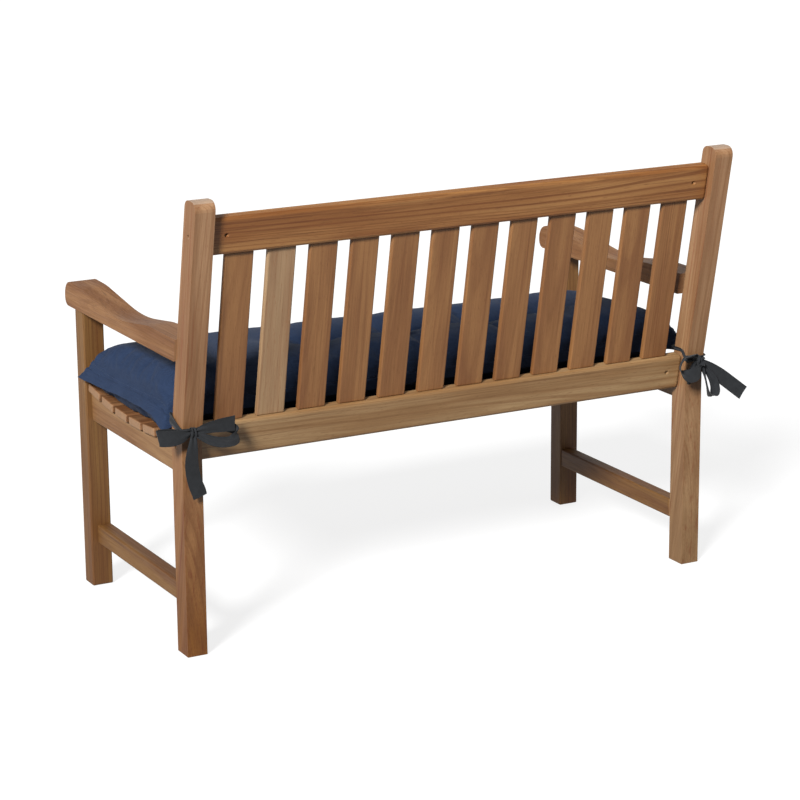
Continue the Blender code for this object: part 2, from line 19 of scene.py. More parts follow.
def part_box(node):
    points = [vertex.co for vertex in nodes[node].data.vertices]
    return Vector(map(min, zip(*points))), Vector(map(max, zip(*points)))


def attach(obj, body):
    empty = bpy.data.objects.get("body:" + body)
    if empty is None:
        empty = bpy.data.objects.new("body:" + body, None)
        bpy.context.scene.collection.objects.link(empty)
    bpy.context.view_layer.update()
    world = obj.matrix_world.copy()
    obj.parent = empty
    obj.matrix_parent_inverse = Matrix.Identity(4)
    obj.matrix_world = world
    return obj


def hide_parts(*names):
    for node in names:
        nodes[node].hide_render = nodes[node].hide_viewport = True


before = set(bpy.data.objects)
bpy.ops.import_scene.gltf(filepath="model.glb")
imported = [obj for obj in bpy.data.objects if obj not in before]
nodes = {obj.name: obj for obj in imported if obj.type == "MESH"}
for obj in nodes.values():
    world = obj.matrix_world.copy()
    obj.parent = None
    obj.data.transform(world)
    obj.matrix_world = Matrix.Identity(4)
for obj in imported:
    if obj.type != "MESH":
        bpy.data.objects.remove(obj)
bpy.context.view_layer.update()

print("boards and soft solids in the frame:", len(nodes))

# %% [markdown]
# ## Camera
#
# The bench is seen from behind and a little above, from its left end. A long lens from over five
# metres keeps its edges nearly parallel. The look direction is given by a yaw and a pitch, and a
# hair of roll is turned in last about the camera's own axis.

# %% Camera
CAMERA_PLACE = Vector((2.5584, 4.7913, 1.8518))
CAMERA_YAW, CAMERA_PITCH, CAMERA_ROLL = -0.4910, 0.2637, -0.0081
LENS_MM = 120.73
CLIP_END = 40


def new_object(name, data):
    """Makes an object from its data and puts it in the scene."""
    made = bpy.data.objects.new(name, data)
    bpy.context.scene.collection.objects.link(made)
    return made


look = Vector((math.sin(CAMERA_YAW) * math.cos(CAMERA_PITCH),
               -math.cos(CAMERA_YAW) * math.cos(CAMERA_PITCH), -math.sin(CAMERA_PITCH)))
camera = new_object("camera", bpy.data.cameras.new("camera"))
turn = look.to_track_quat("-Z", "Y") @ Quaternion((0, 0, 1), CAMERA_ROLL)
camera.matrix_world = Matrix.Translation(CAMERA_PLACE) @ turn.to_matrix().to_4x4()
camera.data.lens = LENS_MM
camera.data.clip_end = CLIP_END
bpy.context.scene.camera = camera
print("camera looks along", [round(v, 3) for v in look])

# %% [markdown]
# ## Colours and shader nodes
#
# Colours are picked as sRGB hex values, as a colour chart gives them. Shaders add and multiply
# light, so they need linear values, and one function does the change. Another adds one node with
# its settings and links, so that a material reads as a list of steps.

# %% Colours and shader nodes
def linear(hex_colour):
    """An sRGB hex colour as linear RGBA."""
    channels = [int(hex_colour[i:i + 2], 16) / 255 for i in (1, 3, 5)]
    bright = [c / 12.92 if c <= 0.04045 else ((c + 0.055) / 1.055) ** 2.4 for c in channels]
    return (*bright, 1.0)


def add(tree, kind, inputs=None, **settings):
    """Adds a shader node. inputs maps a socket to a value or another node's output."""
    made = tree.nodes.new("ShaderNode" + kind)
    for name, value in settings.items():
        setattr(made, name, value)
    for socket, value in (inputs or {}).items():
        if isinstance(value, bpy.types.NodeSocket):
            tree.links.new(value, made.inputs[socket])
        else:
            made.inputs[socket].default_value = value
    return made


def new_material(name, **even):
    """A new material, its node tree and its shader. even holds what is the same all over."""
    made = bpy.data.materials.new(name)
    made.use_nodes = True
    shader = made.node_tree.nodes["Principled BSDF"]
    for socket, value in even.items():
        shader.inputs[socket.replace("_", " ")].default_value = value
    return made, made.node_tree, shader


bpy.context.scene.view_settings.view_transform = "Standard"
print("mid teak is", [round(c, 3) for c in linear("#96734B")])

# %% [markdown]
# ## Studio
#
# The bench stands on a pale floor that glows like a light table, so that its shadow is faint and
# no light bounces up from it. The main light is a wide sun lamp. It comes from above and from the
# left post's side, so that both visible faces of the posts are about equally lit, while the slats
# keep it off the back of the cushion. A second, much weaker sun, low in front, opens up the front,
# and a faint surround, brighter above, fills the shade.

# %% Studio
SUN_TURN, SUN_HEIGHT = math.radians(50), math.radians(32)   # from +Y toward +X, and up
SUN_SPREAD, SUN_STRENGTH = math.radians(14), 5.1
FILL_TURN, FILL_HEIGHT = math.radians(205), math.radians(12)
FILL_SPREAD, FILL_STRENGTH = math.radians(60), 0.55
SKY_ABOVE, SKY_BELOW = 0.27, 0.05
SKY_TURNS = (-0.25, 0.15)   # heights between which the surround goes from dim to bright
FLOOR_GLOW = 0.80
FLOOR_SIZE, FLOOR_DROP = 60, 0.0005     # the drop keeps the floor clear of the legs' ends

bpy.ops.mesh.primitive_plane_add(size=FLOOR_SIZE, location=(0, 0, -FLOOR_DROP))
floor = bpy.context.object
floor.name = "studio_floor"
floor.visible_diffuse = False
floor.data.materials.append(new_material(
    "lit_white_acrylic", Base_Color=linear("#8C8C8C"), Roughness=1.0, Specular_IOR_Level=0.0,
    Emission_Color=linear("#FFFFFF"), Emission_Strength=FLOOR_GLOW)[0])


def sun_lamp(name, turn, height, spread, strength):
    lamp = new_object(name, bpy.data.lights.new(name, "SUN"))
    toward = Vector((math.sin(turn) * math.cos(height), math.cos(turn) * math.cos(height),
                     math.sin(height)))
    lamp.rotation_euler = toward.to_track_quat("Z", "Y").to_euler()
    lamp.data.energy = strength
    lamp.data.angle = spread
    return toward


from_sun = sun_lamp("key_sun", SUN_TURN, SUN_HEIGHT, SUN_SPREAD, SUN_STRENGTH)
sun_lamp("front_fill", FILL_TURN, FILL_HEIGHT, FILL_SPREAD, FILL_STRENGTH)

world = bpy.data.worlds.new("surround")
world.use_nodes = True
sky = world.node_tree
height = add(sky, "SeparateXYZ", {0: add(sky, "TexCoord").outputs["Generated"]}).outputs[2]
strength = add(sky, "MapRange", {"Value": height, "From Min": SKY_TURNS[0],
                                 "From Max": SKY_TURNS[1], "To Min": SKY_BELOW,
                                 "To Max": SKY_ABOVE}).outputs[0]
sky.nodes["Background"].inputs["Color"].default_value = linear("#FFFFFF")
sky.links.new(strength, sky.nodes["Background"].inputs["Strength"])
bpy.context.scene.world = world
print("the sun stands toward", [round(v, 2) for v in from_sun])

# %% [markdown]
# ## Teak
#
# The boards are plantation teak, planed and left dry with a little oil. A tree grows in shells
# round its pith, so a board's pattern isn't a picture on its surface: it is a cut through those
# shells. Here the rings come from the distance to a pith line that lies beside the board and leans
# a little against it. A flat cut then shows arches, a quarter cut shows straight lines, and the
# sawn ends show arcs, all from the same nodes.
#
# On top comes what a planed teak face shows: broad zones from straw to red-brown, dark streaks, and
# fine fibre lines along the grain. The fibre is drawn 1.6 mm wide, coarser than the real 0.3 mm
# pores, because finer lines would vanish at this distance.

# %% Teak material
RING_MM = 5.0               # growth ring spacing
LATE_WOOD = (0.46, 0.66)    # share of a ring's growth at which its dark part starts and is full
WANDER = 0.016              # metres by which slow growth bends the rings
WANDER_MM = (110, 450)      # sizes across and along the grain, here and below
ZONE_MM = (30, 420)
STREAK_MM = (5.5, 330)
FIBRE_MM = (1.6, 60)
PORE_MM = (1.5, 14)
FIBRE_RELIEF = 0.0003       # metres
# painted shade: the heights between which the darkening toward the ground fades out
GROUND_SHADE_HEIGHTS = (0.05, 0.80) # metres between which the tint of the foot fades out


def cells(size_mm):
    """Scale that turns metres into pattern cells of a size across and along the grain."""
    across, along = size_mm
    return (1000 / across, 1000 / across, 1000 / along)


def teak(name, centre, turned, pith, lean, tones, rings, streaks, seed, foot="#FFFFFF"):
    """Teak for one board. centre and turned lay the board's grain along its own Z. pith is where
    the middle of the tree lies from the board's middle, and lean how it slants against it. foot
    is painted shade: a colour that the wood is multiplied by near the ground, where less light falls."""
    made, tree, shader = new_material(name, IOR=1.5, Specular_IOR_Level=0.35)
    where = add(tree, "TexCoord").outputs
    board = add(tree, "Mapping", {"Vector": where["Object"], "Location": centre,
                                  "Rotation": turned}, vector_type="TEXTURE").outputs[0]
    own = add(tree, "VectorMath", {0: board, 1: (seed, 1.7 * seed, 0.6 * seed)}).outputs[0]

    def grain(size_mm, detail):
        """Noise drawn out along the grain."""
        drawn = add(tree, "VectorMath", {0: own, 1: cells(size_mm)}, operation="MULTIPLY").outputs[0]
        return add(tree, "TexNoise", {"Vector": drawn, "Scale": 1.0, "Detail": detail}).outputs

    def step(value, low, high, to_low=0.0, to_high=1.0):
        return add(tree, "MapRange", {"Value": value, "From Min": low, "From Max": high,
                                      "To Min": to_low, "To Max": to_high}).outputs[0]

    # growth rings, from the distance to the pith
    bend = add(tree, "VectorMath", {0: grain(WANDER_MM, 2.0)["Color"], 1: (WANDER, WANDER, 0)},
               operation="MULTIPLY").outputs[0]
    bent = add(tree, "VectorMath", {0: board, 1: bend}).outputs[0]
    trunk = add(tree, "Mapping", {"Vector": bent, "Location": (*pith, 0),
                                  "Rotation": (*lean, 0)}, vector_type="TEXTURE").outputs[0]
    cross = add(tree, "VectorMath", {0: trunk, 1: (1, 1, 0)}, operation="MULTIPLY").outputs[0]
    radius = add(tree, "VectorMath", {0: cross}, operation="LENGTH").outputs["Value"]
    growth = add(tree, "TexNoise", {"W": radius, "Scale": 1000 / RING_MM, "Detail": 3.0,
                                    "Roughness": 0.6}, noise_dimensions="1D").outputs[0]
    late = step(growth, *LATE_WOOD, 0.0, rings)

    zone = step(grain(ZONE_MM, 2.0)[0], 0.38, 0.62)
    streak = step(grain(STREAK_MM, 3.0)[0], 0.56, 0.72, 0.0, streaks)
    fibre = grain(FIBRE_MM, 3.0)[0]
    pore = step(grain(PORE_MM, 1.0)[0], 0.62, 0.74, 0.0, 0.38)

    colour = add(tree, "MixRGB", {"Fac": zone, "Color1": linear(tones["light"]),
                                  "Color2": linear(tones["mid"])}).outputs[0]
    for share, tone in ((late, "dark"), (streak, "streak"), (pore, "streak")):
        colour = add(tree, "MixRGB", {"Fac": share, "Color1": colour,
                                      "Color2": linear(tones[tone])}).outputs[0]

    # painted shade: the wood is darkened toward the ground, where less light falls
    height = add(tree, "SeparateXYZ", {0: where["Object"]}).outputs[2]
    painted_ground_shade = add(tree, "MixRGB", {"Fac": step(height, *GROUND_SHADE_HEIGHTS), "Color1": linear(foot),
                                "Color2": linear("#FFFFFF")}).outputs[0]
    colour = add(tree, "VectorMath", {0: colour, 1: painted_ground_shade}, operation="MULTIPLY").outputs[0]

    # the sawn ends, found by their normal, are paler and duller
    along = Vector((0, 0, 1))
    along.rotate(turned)
    facing = add(tree, "VectorMath", {0: where["Normal"], 1: along},
                 operation="DOT_PRODUCT").outputs["Value"]
    end = add(tree, "Math", {0: facing}, operation="ABSOLUTE").outputs[0]
    colour = add(tree, "MixRGB", {"Fac": step(end, 0.75, 0.95, 0.0, 0.55), "Color1": colour,
                                  "Color2": linear(tones["end"])}).outputs[0]
    shade = step(fibre, 0.3, 0.7, 0.90, 1.08)
    colour = add(tree, "VectorMath", {0: colour, "Scale": shade}, operation="SCALE").outputs[0]
    tree.links.new(colour, shader.inputs["Base Color"])

    tree.links.new(step(fibre, 0.3, 0.7, 0.70, 0.52), shader.inputs["Roughness"])
    relief = add(tree, "Math", {0: fibre, 1: pore}, operation="SUBTRACT").outputs[0]
    bump = add(tree, "Bump", {"Height": relief, "Strength": 0.6, "Distance": FIBRE_RELIEF})
    tree.links.new(bump.outputs[0], shader.inputs["Normal"])
    return made

# %% [markdown]
# ## One cut of teak for each board
#
# No two boards match, so each gets its own place in its own tree: a row of the table says which
# way its grain runs, how far off the pith lies, how the tree leans, and which tones the board has.
# Boards of one kind share a row, and a seeded draw moves each of them to another part of the tree.
# Boards that stand out on the real bench have a row of their own.

# %% Cut the boards
LEAN = math.radians(11.5)                           # of the back from upright
UPRIGHT = Matrix.Identity(3)
LEANING = Matrix.Rotation(-LEAN, 3, "X")
ALONG_BENCH = Matrix.Rotation(math.pi / 2, 3, "Y")
ALONG_RAIL = LEANING @ ALONG_BENCH
ACROSS_BENCH = Matrix.Rotation(-math.pi / 2, 3, "X")

TONE_NAMES = ("light", "mid", "dark", "streak", "end")
TONES = {
    "slat": "#976A3F #845832 #6F4222 #653516 #AC8A62",
    "pale": "#AB8C69 #977555 #886140 #8B512B #B18D71",
    "post": "#A9815D #906846 #7C522C #7E401D #B4A18F",
    "top": "#A27240 #875528 #6D3C17 #5C2E0F #AD8355",
    "low": "#A98A63 #926F48 #7B5530 #67421F #B29470",
    "apron": "#9B7750 #855E3A #6E4725 #5D3718 #A88A64",
    "arm": "#936942 #7C512B #633816 #512A10 #9C7858",
    "seat": "#8B6342 #754B2A #5E3A1D #492913 #A98665",
    # the leg tones are darker partly for the wood and partly as painted shade, as the low parts get
    # less light
    "leg": "#815D31 #704A25 #5C3718 #4D2A0F #917453",
}

# painted shade: what a board's colour is multiplied by at the ground, where less light falls
GROUND_SHADE_BY_BOARD = {"rear_post_left": "#B59753", "rear_post_right": "#D2D6CC"}
GROUND_SHADE = "#E4DCCB"

# how the grain runs, pith in mm from the board's middle, lean in degrees, tones, rings, streaks
CUTS = {
    "rear_post": (LEANING, (46, 60), (1.4, -0.8), "post", 0.42, 0.60),
    "front_leg": (UPRIGHT, (-55, 48), (0.9, 1.1), "leg", 0.5, 0.5),
    "arm": (ACROSS_BENCH, (60, 24), (2.0, -2.6), "arm", 0.42, 0.55),
    "side_apron": (ACROSS_BENCH, (90, 30), (1.5, 1.0), "apron", 0.4, 0.45),
    "side_stretcher": (ACROSS_BENCH, (50, 40), (1.2, 0.8), "leg", 0.5, 0.6),
    "top_rail": (ALONG_RAIL, (-34, 58), (3.4, -2.2), "top", 0.75, 0.75),
    "lower_rail": (ALONG_RAIL, (70, 84), (0.8, 0.5), "low", 0.5, 0.5),
    "front_apron": (ALONG_BENCH, (60, 70), (1.0, 0.8), "low", 0.5, 0.5),
    "back_slat": (LEANING, (36, 74), (1.5, 0.9), "slat", 0.30, 0.34),
    "back_slat_01": (LEANING, (4, 30), (2.6, 0.2), "slat", 0.62, 0.30),
    "back_slat_11": (LEANING, (70, 60), (0.6, -0.8), "pale", 0.30, 0.35),
    "seat_slat": (ALONG_BENCH, (30, 66), (1.2, 0.8), "seat", 0.65, 0.80),
}
PITH_SPREAD = 0.030         # metres between the trees of boards of one kind
LEAN_SPREAD = 0.8           # degrees

draw = random.Random(7)
for name in sorted(nodes):
    kind = name if name in CUTS else name.rstrip("0123456789").rstrip("_")
    kind = kind.removesuffix("_left").removesuffix("_right")
    if kind not in CUTS:
        continue
    grain_runs, pith_mm, lean_degrees, tones, rings, streaks = CUTS[kind]
    low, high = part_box(name)
    pith = [mm / 1000 + draw.uniform(-PITH_SPREAD, PITH_SPREAD) for mm in pith_mm]
    lean = [math.radians(d + draw.uniform(-LEAN_SPREAD, LEAN_SPREAD)) for d in lean_degrees]
    cut = teak("planed_teak_" + name, (low + high) / 2, grain_runs.to_euler(), pith, lean,
               dict(zip(TONE_NAMES, TONES[tones].split())), rings, streaks,
               seed=draw.uniform(0, 20), foot=GROUND_SHADE_BY_BOARD.get(name, GROUND_SHADE))
    nodes[name].data.materials.clear()
    nodes[name].data.materials.append(cut)
print("boards cut:", len([m for m in bpy.data.materials if m.name.startswith("planed_teak")]))

# %% [markdown]
# ## The cushion: its shape
#
# The real cushion is two panels of canvas sewn together round a fibre filling, with a flat border
# outside the seam, one sewn channel along its middle and a few tufts that pull the top down. Its
# CAD solid has the crown, the drawn-in sides, the tied-down rear corners and the askew right end,
# but in coarse facets. A cushion could be inflated from a flat sheet; here a copy of the solid is
# merged, turned to quads and subdivided, so that it keeps its place on the slats.

# %% Smooth copy of the cushion solid
MERGE = 0.00002             # metres within which the solid's doubled points are one
CORNER_REACH = 0.003        # a point this near to a corner of the outline stays sharp
SKEW = 0.032                # the right front corner lies this much short of the tied rear one


def select_only(piece):
    bpy.ops.object.select_all(action="DESELECT")
    piece.select_set(True)
    bpy.context.view_layer.objects.active = piece


def apply_all(piece):
    select_only(piece)
    for modifier in list(piece.modifiers):
        bpy.ops.object.modifier_apply(modifier=modifier.name)


def points_of(piece):
    flat = np.empty(len(piece.data.vertices) * 3)
    piece.data.vertices.foreach_get("co", flat)
    return flat.reshape(-1, 3)


def set_points(piece, points):
    piece.data.vertices.foreach_set("co", np.asarray(points, float).ravel())
    piece.data.update()


solid = nodes["cushion"]
cushion = new_object("navy_cushion", solid.data.copy())
select_only(cushion)
bpy.ops.object.mode_set(mode="EDIT")
bpy.ops.mesh.select_all(action="SELECT")
bpy.ops.mesh.remove_doubles(threshold=MERGE)
bpy.ops.mesh.tris_convert_to_quads(face_threshold=math.pi, shape_threshold=math.pi)
bpy.ops.object.mode_set(mode="OBJECT")
cushion_low, cushion_high = (np.array(corner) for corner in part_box("cushion"))
cushion_middle = (cushion_low + cushion_high) / 2
cushion_half = (cushion_high - cushion_low) / 2

def shares(points):
    """Place on the cushion, -1 to 1 along and -1 to 1 across, with its skewed right end squared."""
    v = (points[:, 1] - cushion_middle[1]) / cushion_half[1]
    short = SKEW * (1 - v) / 4
    u = (points[:, 0] - cushion_middle[0] - short) / (cushion_half[0] - short)
    return u, v


from_corner = (1 - np.abs(np.array(shares(points_of(cushion))))) * cushion_half[:2, None]
corner = from_corner.max(axis=0) < CORNER_REACH
kept_sharp = cushion.data.attributes.new("crease_vert", "FLOAT", "POINT")
kept_sharp.data.foreach_set("value", corner.astype(float))
fine = cushion.modifiers.new("subdivide", "SUBSURF")
fine.levels = fine.render_levels = 2
apply_all(cushion)
print("cushion faces:", len(cushion.data.polygons), "- sharp corner points:", int(corner.sum()))

# %% [markdown]
# ## The cushion: where it is sewn
#
# Every later step asks how far a point lies from a seam: the border seam round the filling, the
# channel, and the tufts. The distance inside the outline comes from the solid's box, its skew and
# how far its ends and sides draw in.

# %% Distances to the seams
BORDER_END, BORDER_SIDE = 0.016, 0.014      # the border outside the seam, seen from above
SIDE_PULL, END_PULL = 0.012, 0.006
CHANNEL_Y, CHANNEL_X, CHANNEL_HALF = -0.030, -0.045, 0.345
CHANNEL_FADE = 0.05
TUFTS = (-0.385, -0.200, 0.000, 0.200)
SEAM_FADE = 0.008           # metres inside the border over which the hold of the seam fades
CHANNEL_HELD = 0.006        # metres beside the channel that its seam holds


def inside_border(points):
    """Distance inside the border seam: positive over the filling, negative on the border."""
    u, v = shares(points)
    end = cushion_half[0] * (1 - np.abs(u)) - END_PULL * (1 - v ** 2) - BORDER_END
    side = cushion_half[1] * (1 - np.abs(v)) - SIDE_PULL * (1 - u ** 4) - BORDER_SIDE
    return np.minimum(end, side)


def smooth(t):
    t = np.clip(t, 0, 1)
    return t * t * (3 - 2 * t)


def bell(distance, width):
    return np.exp(-(distance / width) ** 2)


def channel_here(points):
    """1 along the sewn channel, fading out at its two ends."""
    return smooth((CHANNEL_HALF - np.abs(points[:, 0] - CHANNEL_X)) / CHANNEL_FADE)


rest_points = points_of(cushion)
inside = inside_border(rest_points)
sewn = smooth(1 - inside / SEAM_FADE)
in_channel = bell(rest_points[:, 1] - CHANNEL_Y, CHANNEL_HELD) * channel_here(rest_points)
sewn = np.maximum(sewn, in_channel)
print("sewn share of the points:", round(float(sewn.mean()), 3))

# %% [markdown]
# ## The cushion: filled by simulation
#
# Fibre filling pushes the cloth out everywhere but at the seams, and the cloth between two seams
# is a little longer than the way across, so it wrinkles. Cloth simulation gives just that: the
# seams are pinned, the cloth is let out a little, and air pressure takes the place of the filling.
# Gravity stays off, because the solid already lies on the seat. How far a point may move is
# capped afterwards, so that the cushion stays in its own space.

# %% Fill the cushion
PRESSURE = 4.0
LET_OUT = -0.030            # the cloth grows by this share
CAP = 0.006                 # metres that a point may move
FRAMES = 20
CANVAS_CLOTH = dict(quality=6, mass=0.25, tension_stiffness=12, compression_stiffness=12,
                    bending_stiffness=0.4, use_pressure=True, uniform_pressure_force=PRESSURE,
                    shrink_min=LET_OUT, vertex_group_mass="sewn")


def fill_with_air(piece, pinned):
    """Runs the pressure simulation and gives back where the points end up."""
    group = piece.vertex_groups.new(name="sewn")
    for index in np.flatnonzero(pinned > 0.02):
        group.add([int(index)], float(pinned[index]), "REPLACE")
    swell = piece.modifiers.new("swell", "CLOTH")
    for setting, value in CANVAS_CLOTH.items():
        setattr(swell.settings, setting, value)
    swell.settings.effector_weights.gravity = 0
    swell.collision_settings.use_collision = False
    swell.point_cache.frame_end = FRAMES
    for moment in range(1, FRAMES + 1):
        bpy.context.scene.frame_set(moment)
    filled = piece.evaluated_get(bpy.context.evaluated_depsgraph_get())
    points = points_of(filled)
    piece.modifiers.remove(swell)
    piece.vertex_groups.remove(group)
    bpy.context.scene.frame_set(1)
    return points


def capped(points, start, cap):
    move = points - start
    far = np.linalg.norm(move, axis=1, keepdims=True)
    return start + move * np.minimum(1, cap / np.maximum(far, 1e-9))


swollen = capped(fill_with_air(cushion, sewn), rest_points, CAP)
set_points(cushion, swollen)
moved = np.linalg.norm(swollen - rest_points, axis=1)
print("cloth moved by up to", round(float(moved.max()) * 1000, 1), "mm, on average",
      round(float(moved.mean()) * 1000, 1), "mm")

# %% [markdown]
# ## The cushion: seams and puckers
#
# A seam through a filled cushion draws a narrow groove, and the thread gathers the cloth, so that
# short soft wrinkles run out from it on both sides and die away. They are laid in with a formula:
# a wave along the seam, made uneven by slower waves, that fades with the distance from the seam.
# The border itself is flat but never quite straight.

# %% Seams and puckers
SEAM_GROOVE, CHANNEL_GROOVE = 0.0028, 0.0060        # depths in metres, and so on down
TUFT_DIP, TUFT_CREASE = 0.0050, 0.0022
SEAM_PUCKER, CHANNEL_PUCKER = 0.0016, 0.0030
BORDER_WAVE, BORDER_LIFT = 0.0011, 0.0004
FLOOR_GAP = 0.0004          # between the cushion and the slats


def uneven(along, seed):
    """A slow uneven wave from -1 to 1 along a seam, for spacing and strength."""
    return (np.sin(along * 23 + seed) + np.sin(along * 57 + 2.1 * seed)
            + np.sin(along * 111 + 3.7 * seed)) / 3


def puckers(along, away, seed, spacing=0.021, reach=0.030):
    """Wrinkles that run out from a seam, -1 to 1."""
    wave = np.sin(along * 2 * math.pi / spacing + 3.0 * uneven(along, seed))
    return wave * np.clip(0.45 + 0.75 * uneven(along, seed + 5), 0, 1) * np.exp(-away / reach)


points = points_of(cushion)
normals = np.empty(len(points) * 3)
cushion.data.vertices.foreach_get("normal", normals)
normals = normals.reshape(-1, 3)
top = smooth(normals[:, 2] / 0.3 + 0.5)                 # 1 on the top panel, 0 below
x, y, z = points.T
inside = inside_border(points)
near_end = smooth((0.10 - cushion_half[0] * (1 - np.abs(shares(points)[0]))) / 0.06)
along_border = np.where(near_end > 0.5, y, x)
lift = SEAM_PUCKER * puckers(along_border, np.abs(inside), 1.3) * smooth(inside / 0.006)
lift -= SEAM_GROOVE * bell(inside, 0.0050)
away = np.abs(y - CHANNEL_Y)
across_channel = puckers(x, away, 4.1, spacing=0.034, reach=0.034)
lift += CHANNEL_PUCKER * across_channel * channel_here(points) * top
lift -= CHANNEL_GROOVE * bell(away, 0.0080) * channel_here(points) * top
for number, tuft in enumerate(TUFTS):
    run = np.hypot(x - tuft, y - CHANNEL_Y)
    lift -= TUFT_DIP * bell(run, 0.018) * top
    for turned in (-1, 1):
        crease = (y - CHANNEL_Y) - turned * (x - tuft) * (0.9 + 0.2 * number)
        lift -= TUFT_CREASE * bell(crease, 0.010) * bell(run - 0.045, 0.035) * top
points += normals * lift[:, None]
border = smooth(-inside / 0.010)
points[:, 2] += border * (BORDER_WAVE * uneven(along_border * 0.9, 2.0) + BORDER_LIFT)

# rest on the slats: no point goes below the solid's own underside
under = BVHTree.FromPolygons([v.co for v in solid.data.vertices],
                             [p.vertices for p in solid.data.polygons])
for index, point in enumerate(points):
    hit = under.ray_cast(Vector((point[0], point[1], 0)), Vector((0, 0, 1)))[0]
    if hit is not None and normals[index, 2] < 0.2:
        point[2] = max(point[2], hit.z + FLOOR_GAP)
points[:, :2] = np.clip(points[:, :2], cushion_low[:2], cushion_high[:2])
set_points(cushion, points)
print("crown now reaches", round(float(points[:, 2].max()), 4), "m")

# %% [markdown]
# ## The cushion: lying flat panels out for the weave
#
# A weave follows the cloth and not the room, so the cushion gets a UV map in metres, as if its
# panels were laid flat: the distance along each axis, plus the height climbed toward the ends and
# sides, which keeps the threads their own size there.

# %% Panel coordinates
def set_uv(data, name, flat):
    """Gives a mesh a UV map from one flat place for each point."""
    corners = np.empty(len(data.loops), int)
    data.loops.foreach_get("vertex_index", corners)
    data.uv_layers.new(name=name).data.foreach_set("uv", flat[corners].ravel())


def lay_flat(points):
    climb = points[:, 2] - cushion_low[2]
    u, v = shares(points)
    steep_end, steep_side = smooth((np.abs(u) - 0.80) / 0.15), smooth((np.abs(v) - 0.45) / 0.40)
    return np.stack([points[:, 0] - np.sign(u) * climb * steep_end,
                     points[:, 1] - np.sign(v) * climb * steep_side], axis=1)


while cushion.data.uv_layers:
    cushion.data.uv_layers.remove(cushion.data.uv_layers[0])
set_uv(cushion.data, "panel", lay_flat(points))
cushion.data.shade_smooth()
print("panel size:", (2 * cushion_half[:2]).round(3), "m")

# %% [markdown]
# ## The cushion: stitches
#
# The border is topstitched with navy thread. A stitch is a short, slightly sunk bead, so one is
# modelled from a small cylinder with rounded ends, and copies are set along the seam on both
# faces and along the channel, each lying on the cloth and turned along the seam.

# %% Stitches
STITCH_PITCH = 0.0065       # drawn longer than a real 3.5 mm stitch, to be seen
STITCH_SIZE = (0.0042, 0.0011)


def select_facing(piece, wanted):
    """In edit mode, selects just the faces whose normal passes a test."""
    bpy.ops.mesh.select_mode(type="FACE")
    bpy.ops.mesh.select_all(action="DESELECT")
    shape = bmesh.from_edit_mesh(piece.data)
    for face in shape.faces:
        face.select_set(wanted(face.normal))
    bmesh.update_edit_mesh(piece.data)


def bead(name, length, thick):
    """One stitch along X at the origin, with rounded ends."""
    bpy.ops.object.select_all(action="DESELECT")
    bpy.ops.mesh.primitive_cylinder_add(vertices=8, radius=thick / 2, depth=length * 0.6,
                                        rotation=(0, math.pi / 2, 0))
    made = bpy.context.object
    made.name = name
    bpy.ops.object.transform_apply(location=False, rotation=True, scale=True)
    bpy.ops.object.mode_set(mode="EDIT")
    for sign in (-1, 1):
        select_facing(made, lambda normal: normal.x * sign > 0.9)
        bpy.ops.mesh.extrude_region_move(
            TRANSFORM_OT_translate={"value": (sign * length * 0.2, 0, 0)})
        bpy.ops.transform.resize(value=(1, 0.45, 0.45))
    bpy.ops.object.mode_set(mode="OBJECT")
    return made


def border_route():
    """Points along the border seam, at even steps, with the direction of the seam."""
    half_x = cushion_half[0] - BORDER_END - END_PULL
    half_y = cushion_half[1] - BORDER_SIDE - SIDE_PULL
    corners = [(SKEW - half_x, -half_y), (half_x, -half_y), (half_x, half_y), (-half_x, half_y)]
    route = []
    for k, start in enumerate(corners):
        start, end = np.array(start), np.array(corners[(k + 1) % 4])
        count = int(np.linalg.norm(end - start) / STITCH_PITCH)
        for i in range(count):
            route.append((start + (end - start) * (i + 0.5) / count, end - start))
    return route


cloth = BVHTree.FromPolygons([Vector(p) for p in points],
                             [p.vertices for p in cushion.data.polygons])
stitch = bead("stitch", *STITCH_SIZE)
stitch_shape = points_of(stitch)
stitch_faces = [list(p.vertices) for p in stitch.data.polygons]
all_points, all_faces = [], []


def sew(x, y, direction, from_above):
    """Lays one stitch on the cloth's top or underside at a place."""
    start = Vector((x, y, 1.0 if from_above else 0.0))
    place, normal = cloth.ray_cast(start, Vector((0, 0, -1 if from_above else 1)))[:2]
    if place is None:
        return
    along = Vector((direction[0], direction[1], 0)).normalized()
    along = (along - normal * along.dot(normal)).normalized()
    axes = Matrix((along, normal.cross(along), normal)).transposed()
    base = len(all_points)
    all_points.extend(axes @ Vector(p) + place + normal * STITCH_SIZE[1] * 0.25
                      for p in stitch_shape)
    all_faces.extend([base + i for i in face] for face in stitch_faces)


for place, direction in border_route():
    for from_above in (True, False):
        sew(*(place + cushion_middle[:2]), direction, from_above)
sewn_half = CHANNEL_HALF - 0.02                     # the last 20 mm of the channel only fade out
for i in range(int(2 * sewn_half / STITCH_PITCH)):
    sew(CHANNEL_X - sewn_half + i * STITCH_PITCH, CHANNEL_Y, (1, 0), from_above=True)
bpy.data.objects.remove(stitch)
thread_mesh = bpy.data.meshes.new("stitching")
thread_mesh.from_pydata(all_points, [], all_faces)
stitching = new_object("stitching", thread_mesh)
thread_mesh.shade_smooth()
print("stitches:", len(all_faces) // len(stitch_faces))

# %% [markdown]
# ## Canvas
#
# The cover is a plain-weave cotton and polyester canvas, dyed navy and sun-dulled. Its threads are
# 0.5 mm apart, and are drawn 1.7 mm apart so that they can be made out. Canvas scatters light
# softly, with a faint fuzz at grazing angles, which the sheen gives. Thick places in the yarn show
# as short dashes in both directions, and the dye varies in slow clouds.

# %% Canvas material
THREAD_MM = 1.7
SLUB_MM = (1.6, 26)
CLOUD_MM = 90
WEAVE_RELIEF = 0.00035


